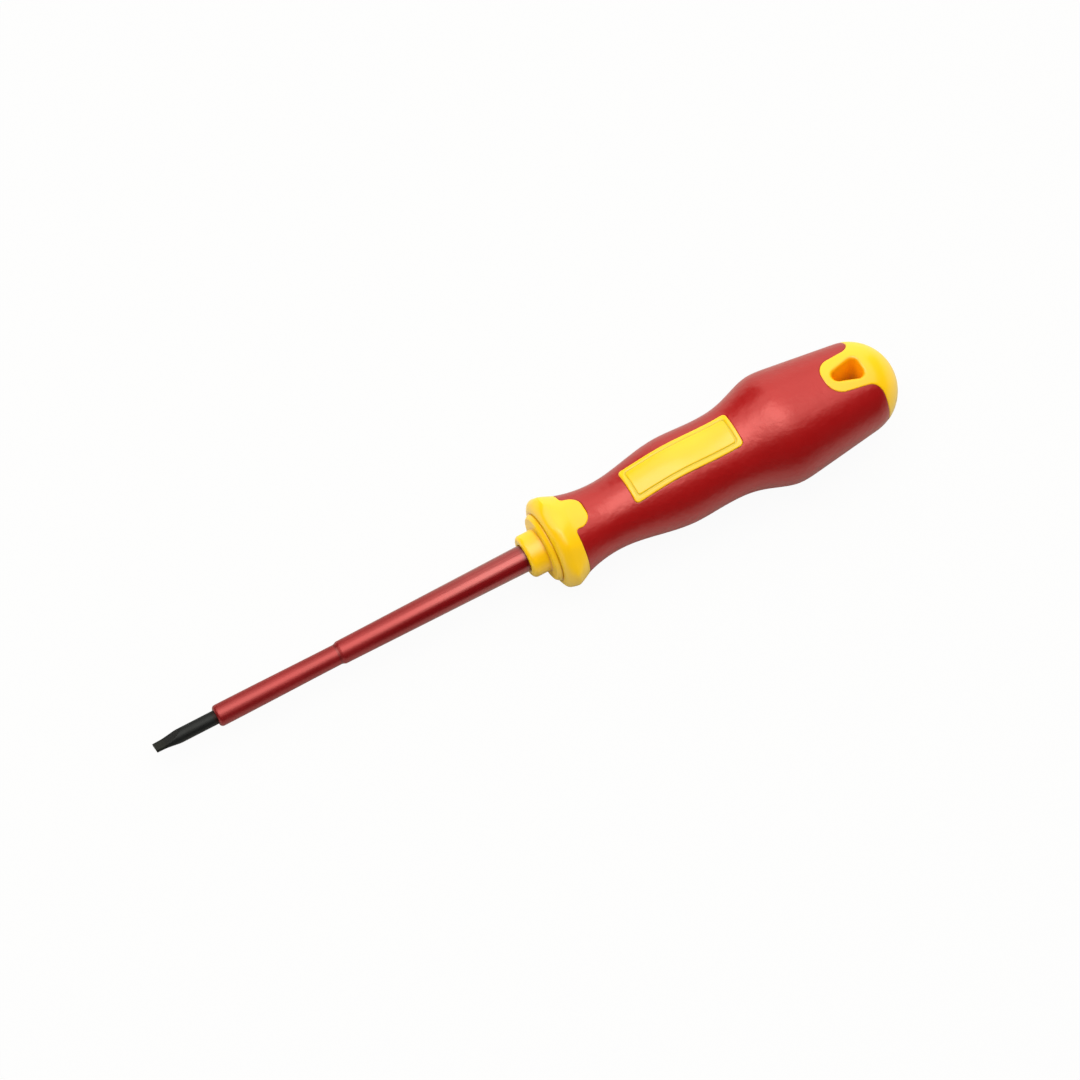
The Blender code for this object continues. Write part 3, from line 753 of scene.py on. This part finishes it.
def blackened_steel():
    """Blackened rod with draw marks, a ground tip that shows a little steel and a reddish painted shade
    where it enters the sleeve.
    """
    material, shader, spot = finish_base("blackened_steel")
    marks = noise(streaked(spot, ALONG_STEEL), size=0.25, detail=3)
    ground = noise(streaked(spot, ACROSS_TIP), size=0.16, detail=3)
    mottle = noise(spot, size=1.4, detail=4)
    station = attribute(spot, "station")
    tip = station.ramp(*GROUND_STATIONS, start=1.0, end=0.0)
    colour = tint(mottle, *STEEL)
    colour = tint(tip * 0.8, colour, STEEL_GROUND)
    # Painted shade where the rod enters the sleeve
    colour = tint(station.ramp(*SLEEVE_SHADE, start=0.0, end=0.7), colour, STEEL_SLEEVE_SHADE)
    height = marks * (1 - tip) + ground * tip
    feed(shader, Base_Color=colour, Metallic=0.65 + tip * 0.2, Roughness=0.46 + height * 0.14,
         Normal=bumped(height, depth=0.02))
    return material


def core_plastic():
    """Natural hard plastic of the hidden core."""
    material, shader, spot = finish_base("core_plastic")
    cloud = noise(spot, size=8, detail=2)
    feed(shader, Base_Color=tint(cloud, *CORE), Roughness=0.5 + cloud * 0.1)
    return material


# Pieces

def add_piece(name, mesh, node, material):
    """Put a finished mesh in the place of its CAD node."""
    piece = bpy.data.objects.new(name, mesh)
    bpy.context.scene.collection.objects.link(piece)
    mesh.materials.clear()
    mesh.materials.append(material)
    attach(piece, "root")
    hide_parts(node)


def tidy_mesh(mesh, **numbers):
    """Weld and close a mesh in the tool's frame, give its points their numbers, and put it in its place."""
    numbers["station"] = [vertex.co.x for vertex in mesh.vertices]
    for name, values in numbers.items():
        values = np.resize(values, len(mesh.vertices)).astype(np.float32)
        mesh.attributes.new(name, "FLOAT", "POINT").data.foreach_set("value", values)
    solid = bmesh.new()
    solid.from_mesh(mesh)
    bmesh.ops.remove_doubles(solid, verts=solid.verts, dist=WELD)
    bmesh.ops.dissolve_degenerate(solid, edges=solid.edges, dist=DEGENERATE)
    bmesh.ops.recalc_face_normals(solid, faces=solid.faces)
    solid.to_mesh(mesh)
    solid.free()
    mesh.transform(PLACE)
    mesh.shade_smooth()
    mesh.set_sharp_from_angle(angle=CREASE_ANGLE)
    return mesh


def mesh_of(name, points, faces, **numbers):
    """A mesh from points in the tool's frame; the numbers of its outer skin repeat for its inner wall."""
    mesh = bpy.data.meshes.new(name)
    mesh.from_pydata([tuple(point) for point in points], [], faces)
    return tidy_mesh(mesh, **numbers)


def turned_mesh(name, line, tree, material):
    """A mesh turned by the node tree from points (station, radius, half thickness between ground flats)."""
    profile = bpy.data.meshes.new(name + "_line")
    profile.from_pydata([(radius, half, station) for station, radius, half in line], [], [])
    holder = bpy.data.objects.new(name + "_line", profile)
    bpy.context.scene.collection.objects.link(holder)
    modifier = holder.modifiers.new("turned", "NODES")
    modifier.node_group = tree
    values = {"Rows": len(line), "Columns": ROD_COLUMNS, "Flat Turn": TIP_TURN, "Finish": material}
    for item in tree.interface.items_tree:
        if item.in_out == "INPUT" and item.name in values:
            modifier[item.identifier] = values[item.name]
    graph = bpy.context.evaluated_depsgraph_get()
    mesh = bpy.data.meshes.new_from_object(holder.evaluated_get(graph))
    holder.modifiers.remove(modifier)
    bpy.data.objects.remove(holder)
    mesh.name = name
    return tidy_mesh(mesh)


def blade_line():
    """Outline of the rod from the tip to the end of the tang, with the thickness that is ground there."""
    land_end = -BLADE_LENGTH + TIP_LAND
    line = [(-BLADE_LENGTH, 0, TIP_HALF_THICKNESS)]
    for share in np.linspace(0, 1, LAND_ROWS):
        half = TIP_HALF_THICKNESS + (TIP_LAND_HALF_THICKNESS - TIP_HALF_THICKNESS) * share
        line.append((-BLADE_LENGTH + TIP_LAND * share, ROD_RADIUS, half))
    for share in np.linspace(TAPER_FIRST_ROW, 1, ROD_ROWS):
        hollow = TIP_HOLLOW * math.sin(math.pi * share)
        half = TIP_LAND_HALF_THICKNESS + (ROD_RADIUS - TIP_LAND_HALF_THICKNESS) * share - hollow
        line.append((land_end + TIP_TAPER * share, ROD_RADIUS, half))
    for station in np.linspace(land_end + TIP_TAPER + ROD_FIRST_ROW, TANG_LENGTH, ROD_ROWS):
        line.append((station, ROD_RADIUS, ROD_RADIUS))
    return line + [(TANG_LENGTH, 0, ROD_RADIUS)]


def inner_line():
    """Ring outline of the first layer of insulation."""
    front = -BLADE_LENGTH + BARE_TIP
    edge = INNER_EDGE_ROUND
    bore = ROD_RADIUS + INNER_BORE_GAP
    line = [(INSULATION_DEPTH, bore), (front + INNER_LIP_DEPTH, bore),
            (front + INNER_LIP_SETBACK, bore + INNER_LIP_RISE)]
    line += arc((front + edge, INNER_FRONT_RADIUS - edge), edge, -math.pi / 2, 0)
    for share in np.linspace(INNER_FIRST_ROW, 1, INNER_ROWS):
        station = front + edge + (-OUTER_LENGTH - front - edge) * share
        narrowing = (INNER_REAR_RADIUS - INNER_FRONT_RADIUS) * ease(share * INNER_TAPER_SHARE)
        line.append((station, INNER_FRONT_RADIUS + narrowing))
    line += [(INSULATION_DEPTH, INNER_REAR_RADIUS), (INSULATION_DEPTH, bore)]
    return [(station, radius, REACH) for station, radius in line]


def outer_line():
    """Ring outline of the second layer, from its sloping lip into the nose."""
    bore = INNER_REAR_RADIUS - OUTER_BITE
    line = [(INSULATION_DEPTH, bore), (-OUTER_LENGTH, bore)]
    for share in np.linspace(0, 1, RAMP_ROWS):
        lift = OUTER_LIP + (OUTER_FRONT_RADIUS - bore - OUTER_LIP) * float(ease(share))
        line.append((-OUTER_LENGTH + OUTER_RAMP * share, bore + lift))
    for share in np.linspace(OUTER_FIRST_ROW, 1, ROD_ROWS):
        station = (OUTER_RAMP - OUTER_LENGTH) * (1 - share)
        line.append((station, OUTER_FRONT_RADIUS + (OUTER_REAR_RADIUS - OUTER_FRONT_RADIUS) * share))
    line += [(INSULATION_DEPTH, OUTER_REAR_RADIUS), (INSULATION_DEPTH, bore)]
    return [(station, radius, REACH) for station, radius in line]


def soft_least(first, second):
    """The lesser of two radii, eased where they cross."""
    gap = np.clip(0.5 + 0.5 * (second - first) / GUARD_BLEND, 0, 1)
    return first * gap + second * (1 - gap) - GUARD_BLEND * gap * (1 - gap)


def guard_line():
    """Outline of the guard, with its round front and straight flank, and of the flare behind it."""
    lean = math.asin(1 - GUARD_FRONT / GUARD_ROUND)
    centre = GUARD_STATION + GUARD_ROUND
    base = GUARD_RADIUS - GUARD_ROUND * math.cos(lean)
    face = GUARD_STATION + GUARD_ROUND * (1 - np.cos(np.linspace(0, GUARD_ROWS_TURN, GUARD_ROWS)))
    zones = [(GUARD_CREST - CREST_MARGIN, GUARD_CREST + CREST_MARGIN),
             (COLLAR_EDGE - EDGE_MARGIN, COLLAR_TONGUE_TIP + EDGE_MARGIN)]
    end = COLLAR_TONGUE_TIP + 2 * SKIN_OVERLAP
    flank = graded(face[-1], end, FINE_STEP, COLLAR_COARSE_STEP, zones)[1:]
    station = np.concatenate([face, flank])
    front = base + np.sqrt(GUARD_ROUND ** 2 - np.clip(centre - station, 0, GUARD_ROUND) ** 2)
    radius = np.where(station > centre, handle_radius(station), soft_least(front, handle_radius(station)))
    return list(zip(station, radius))


def collar_profile():
    """Outline of the collar from the bottom of its mouth round nose, plate and guard and down the flare."""
    mouth = OUTER_REAR_RADIUS + NOSE_MOUTH
    lip = NOSE_MOUTH_ROUND
    quarter = math.pi / 2
    crease = CREASE_ROUND
    profile = [(NOSE_RECESS, 0), (NOSE_RECESS, mouth), (lip, mouth)]
    profile += arc((lip, mouth + lip), lip, -quarter * 2, -quarter)
    profile += arc((NOSE_ROUND, NOSE_RADIUS - NOSE_ROUND), NOSE_ROUND, -quarter, 0)
    profile += arc((PLATE_STATION - crease, NOSE_RADIUS + crease), crease, -2 * quarter, -3 * quarter)
    lean = math.atan2(PLATE_REAR_RADIUS - PLATE_RADIUS, PLATE_THICKNESS - PLATE_ROUND - PLATE_REAR_ROUND)
    profile += arc((PLATE_STATION + PLATE_ROUND, PLATE_RADIUS - PLATE_ROUND), PLATE_ROUND, -quarter, -lean)
    rear = (GUARD_STATION - PLATE_REAR_ROUND, PLATE_REAR_RADIUS - PLATE_REAR_ROUND)
    profile += arc(rear, PLATE_REAR_ROUND, -lean, quarter)
    return profile + guard_line()


def guard_flats(station, radius, angle):
    """Radius after the six soft flats of the guard, one of them facing the label side."""
    sixth = math.pi / 3
    fold = (angle + sixth / 2) % sixth - sixth / 2
    back = station - GUARD_STATION - GUARD_FLAT_SETBACK
    drop = np.hypot(back, GUARD_FLAT_CROWN) * math.tan(GUARD_FLAT_TAPER)
    soft = soft_least(radius, (GUARD_HALF_FLATS - drop) / np.cos(fold))
    return np.where(station > GUARD_STATION, soft, radius)


def collar_mesh():
    """Nose, stepped plate and six-sided guard, with a tongue down each label side of the grip."""
    def depth_of(station, radius, angle):
        return inside(COLLAR_REGION, station, radius, angle)

    station, radius, angle, faces = trimmed(collar_profile(), around(COLLAR_ZONE), depth_of)
    radius = guard_flats(station, radius, angle)
    depth = np.maximum(depth_of(station, radius, angle), 0)
    # Nearness to the creases beside the plate, for the painted shade there
    creases = [np.hypot(station - PLATE_STATION, radius - NOSE_RADIUS),
               np.hypot(station - GUARD_STATION, radius - PLATE_REAR_RADIUS)]
    crease = CREASE_SHADE_NEARNESS - np.minimum(*creases)
    radius = radius + hard_lift(depth)
    points, faces = through(station, radius, angle, faces, COLLAR_TURN)
    return mesh_of("front_collar", points, faces, seam=depth, crease=crease)


def grip_mesh():
    """Soft sleeve with rounded notches for the tongues and windows for the label plates."""
    zones = [(COLLAR_EDGE - EDGE_MARGIN, COLLAR_TONGUE_TIP + TONGUE_MARGIN),
             (LABEL_START - EDGE_MARGIN, LABEL_START + EDGE_MARGIN),
             (LABEL_END - EDGE_MARGIN, LABEL_END + EDGE_MARGIN),
             (CAP_TONGUE_TIP - TONGUE_MARGIN, CAP_TONGUE_TIP + CAP_TONGUE_MARGIN),
             (CAP_FAR_EDGE - CAP_EDGE_MARGIN, CAP_EDGE + EDGE_MARGIN)]
    stations = graded(COLLAR_EDGE - SKIN_OVERLAP, CAP_EDGE + SKIN_OVERLAP, FINE_STEP, COARSE_STEP, zones)
    profile = np.stack([stations, handle_radius(stations)], axis=1)
    regions = ((COLLAR_REGION, COLLAR_TURN), (CAP_REGION, CAP_TURN), (LABEL_REGION, 0))

    def depth_of(station, radius, angle):
        depths = [inside(region, station, radius, angle, turn) for region, turn in regions]
        return -np.maximum.reduce(depths)

    station, radius, angle, faces = trimmed(profile, around(GRIP_ZONE), depth_of)
    inner = inner_radius(station)
    depth = np.maximum(depth_of(station, radius, angle), 0)
    radius = radius - edge_drop(depth, SOFT_EDGE_ROUND)
    return mesh_of("grip", *shell(station, radius, angle, faces, inner), seam=depth)


def label_mesh(name, turn):
    """Raised plate in a window of the grip: a rounded edge, a rim, a groove inside it and a plain field."""
    zones = [(LABEL_START - LABEL_MARGIN, LABEL_START + LABEL_RIM_MARGIN),
             (LABEL_END - LABEL_RIM_MARGIN, LABEL_END + LABEL_MARGIN)]
    stations = graded(LABEL_START - LABEL_OVERLAP, LABEL_END + LABEL_OVERLAP, LABEL_FINE_STEP,
                      LABEL_COARSE_STEP, zones)
    profile = np.stack([stations, handle_radius(stations)], axis=1)
    span = graded(0, LABEL_ZONE[1], LABEL_FINE_ANGLE, COARSE_ANGLE, [LABEL_ZONE])
    angles = np.radians(np.concatenate([-span[:0:-1], span, LABEL_CLOSING]))

    def depth_of(station, radius, angle):
        return inside(LABEL_REGION, station, radius, angle)

    station, radius, angle, faces = trimmed(profile, angles, depth_of)
    faces = [face for face in faces if all(abs(angle[k]) < LABEL_CUT for k in face)]
    depth = np.maximum(depth_of(station, radius, angle), 0)
    inner = inner_radius(station)
    field = inside(FIELD_REGION, station, radius, angle)
    groove = ease(1 - abs(field) / LABEL_GROOVE_HALF)
    sunk = np.maximum(LABEL_GROOVE_DEPTH * groove, LABEL_FIELD_DEPTH * (field > 0))
    radius = radius + LABEL_RAISE - edge_drop(depth, LABEL_EDGE_ROUND) - sunk
    # The groove's shape also goes out as the line number, for the painted shade in it
    return mesh_of(name, *shell(station, radius, angle + turn, faces, inner), seam=depth, line=groove)


def cap_mesh():
    """Domed butt with a tongue on each label side and the round-edged hanging hole."""
    zones = [(CAP_TONGUE_TIP - EDGE_MARGIN, CAP_EDGE + EDGE_MARGIN)]
    tail = graded(CAP_TONGUE_TIP - SKIN_OVERLAP, DOME_START, FINE_STEP, CAP_COARSE_STEP, zones)
    profile = [(z, float(handle_radius(z))) for z in tail]
    profile += [(BUTT_CENTRE + BUTT_RADIUS * math.sin(t), BUTT_RADIUS * math.cos(t))
                for t in np.linspace(TAPER, math.pi / 2, DOME_ROWS)[1:]]

    def depths(station, radius, angle):
        return inside(CAP_REGION, station, radius, angle), -inside(HOLE_REGION, station, radius, angle)

    def least_depth(station, radius, angle):
        return np.minimum(*depths(station, radius, angle))

    station, radius, angle, faces = trimmed(profile, around(CAP_ZONE), least_depth)
    depth, hole = [np.maximum(reach, 0) for reach in depths(station, radius, angle)]
    radius = radius + hard_lift(depth) - edge_drop(hole, HOLE_EDGE_ROUND)
    # Nearness to the hole, for the painted shade inside it
    hollow = ease(1 - hole / HOLE_SHADE_REACH)
    points, faces = through(station, radius, angle, faces, CAP_TURN)
    return mesh_of("butt_cap", points, faces, seam=depth, hollow=hollow)


def build_pieces():
    """Make every piece and put it in the place of its CAD node."""
    yellow = moulded_yellow()
    red = soft_grip_red()
    insulation = insulation_red()
    steel = blackened_steel()
    tree = turned_tree()
    rod = turned_mesh("blade_rod", blade_line(), tree, steel)
    add_piece("blade_rod", rod, "blade", steel)
    inner = turned_mesh("inner_sleeve", inner_line(), tree, insulation)
    add_piece("inner_sleeve", inner, "inner_insulation", insulation)
    outer = turned_mesh("outer_sleeve", outer_line(), tree, insulation)
    add_piece("outer_sleeve", outer, "outer_insulation", insulation)
    add_piece("nose_and_guard", collar_mesh(), "front_collar", yellow)
    add_piece("soft_grip", grip_mesh(), "grip", red)
    add_piece("label_front", label_mesh("label_front", 0), "label_plate", yellow)
    add_piece("label_back", label_mesh("label_back", math.pi), "reverse_plate", yellow)
    add_piece("butt_dome", cap_mesh(), "butt_cap", yellow)
    core = frame["nodes"]["handle_core"]
    core.data.materials.clear()
    core.data.materials.append(core_plastic())


# Studio

# Camera, in millimetres
FRAME_PIXELS = 1080
PIXELS_PER_MM = 4.15
CAMERA_DISTANCE = 1100
VIEW_DIRECTION = (-0.185, -0.4246, 0.8863)
AXIS_ANGLE = math.radians(27.25)
VIEW_CENTRE = 5.47
VIEW_LIFT = 2.13

# Lamps and floor, in metres
LAMP_COLOUR = (1.0, 0.97, 0.84)
WORLD_STRENGTH = 0.02
FLOOR_HALF = 4.0
FLOOR_DROP = 0.0002
FLOOR_PAPER = (0.6, 0.6, 0.6, 1)
FLOOR_WHITENESS = 0.95
OPEN_SIDE = (-0.075, -0.018)


def add_camera():
    """Camera at the photograph's angle: from above, a little from the tip and from the near side."""
    axes = PLACE.to_3x3()
    along, side, rise = [axes.col[k].normalized() for k in range(3)]
    back = (along * VIEW_DIRECTION[0] + side * VIEW_DIRECTION[1] + rise * VIEW_DIRECTION[2]).normalized()
    run = (along - back * along.dot(back)).normalized()
    lift = back.cross(run)
    right = run * math.cos(AXIS_ANGLE) - lift * math.sin(AXIS_ANGLE)
    up = run * math.sin(AXIS_ANGLE) + lift * math.cos(AXIS_ANGLE)
    data = bpy.data.cameras.new("camera")
    data.angle = 2 * math.atan(FRAME_PIXELS / 2 / (PIXELS_PER_MM * CAMERA_DISTANCE))
    camera = bpy.data.objects.new("camera", data)
    bpy.context.scene.collection.objects.link(camera)
    target = PLACE @ Vector((VIEW_CENTRE, 0, 0)) + lift * VIEW_LIFT * MM
    turn = Matrix((right, up, back)).transposed().to_4x4()
    camera.matrix_world = Matrix.Translation(target + back * CAMERA_DISTANCE * MM) @ turn
    bpy.context.scene.camera = camera


def add_lamp(name, shape, place, aim, size, power, turn=0):
    """Soft lamp of a shape, in metres and watts, turned about the line to where it aims."""
    data = bpy.data.lights.new(name, "AREA")
    data.shape = shape
    data.size, data.size_y = size
    data.energy = power
    data.color = LAMP_COLOUR
    lamp = bpy.data.objects.new(name, data)
    bpy.context.scene.collection.objects.link(lamp)
    lamp.location = place
    lamp.rotation_euler = (Vector(aim) - Vector(place)).to_track_quat("-Z", "Y").to_euler()
    lamp.rotation_euler.rotate_axis("Z", turn)


def add_floor():
    """White floor that keeps a faint shadow; in gloss it darkens towards the open side of the tent."""
    mesh = bpy.data.meshes.new("floor")
    half = FLOOR_HALF
    corners = [(-half, -half, 0), (half, -half, 0), (half, half, 0), (-half, half, 0)]
    mesh.from_pydata(corners, [], [(0, 1, 2, 3)])
    floor = bpy.data.objects.new("floor", mesh)
    floor.location.z = -FLOOR_DROP
    bpy.context.scene.collection.objects.link(floor)
    material = bpy.data.materials.new("floor_white")
    material.use_nodes = True
    tree = material.node_tree
    tree.nodes.clear()
    seen = add_node(tree, "ShaderNodeLightPath", None, None, "Is Camera Ray")
    gloss = add_node(tree, "ShaderNodeLightPath", None, None, "Is Glossy Ray")
    spot = add_node(tree, "ShaderNodeTexCoord", None, None, "Object")
    side = spot.node("ShaderNodeSeparateXYZ", None, {"Vector": spot}, "Y")
    dark = side.ramp(*OPEN_SIDE, start=1.0, end=0.0)
    paper = add_node(tree, "ShaderNodeBsdfDiffuse", None, {"Color": FLOOR_PAPER})
    white = add_node(tree, "ShaderNodeEmission", None, {"Strength": seen})
    share = seen * FLOOR_WHITENESS + gloss * dark
    mix = add_node(tree, "ShaderNodeMixShader", None, {0: share, 1: paper, 2: white})
    output = tree.nodes.new("ShaderNodeOutputMaterial")
    tree.links.new(mix.socket, output.inputs["Surface"])
    mesh.materials.append(material)


def add_world():
    """Even white light from all round."""
    world = bpy.data.worlds.new("studio")
    world.use_nodes = True
    background = world.node_tree.nodes["Background"]
    background.inputs["Color"].default_value = (1, 1, 1, 1)
    background.inputs["Strength"].default_value = WORLD_STRENGTH
    bpy.context.scene.world = world


def build_studio():
    """Floor, lamps and camera."""
    bpy.context.scene.view_settings.view_transform = "Standard"
    add_floor()
    add_world()
    add_lamp("ceiling", "RECTANGLE", place=(0.3, 0.2, 0.9), aim=(0.3, 0.2, 0), size=(2.7, 1.8), power=22.0)
    add_lamp("back", "RECTANGLE", place=(0.95, 1.1, 0.45), aim=(0.95, 0, 0.45), size=(1.8, 0.9), power=5.5)
    add_lamp("overhead", "ELLIPSE", place=(-0.06, -0.01, 0.6), aim=(-0.06, -0.01, 0), size=(0.64, 0.46),
             power=1.6, turn=math.radians(-35))
    add_camera()


build_pieces()
build_studio()
bpy.context.view_layer.update()
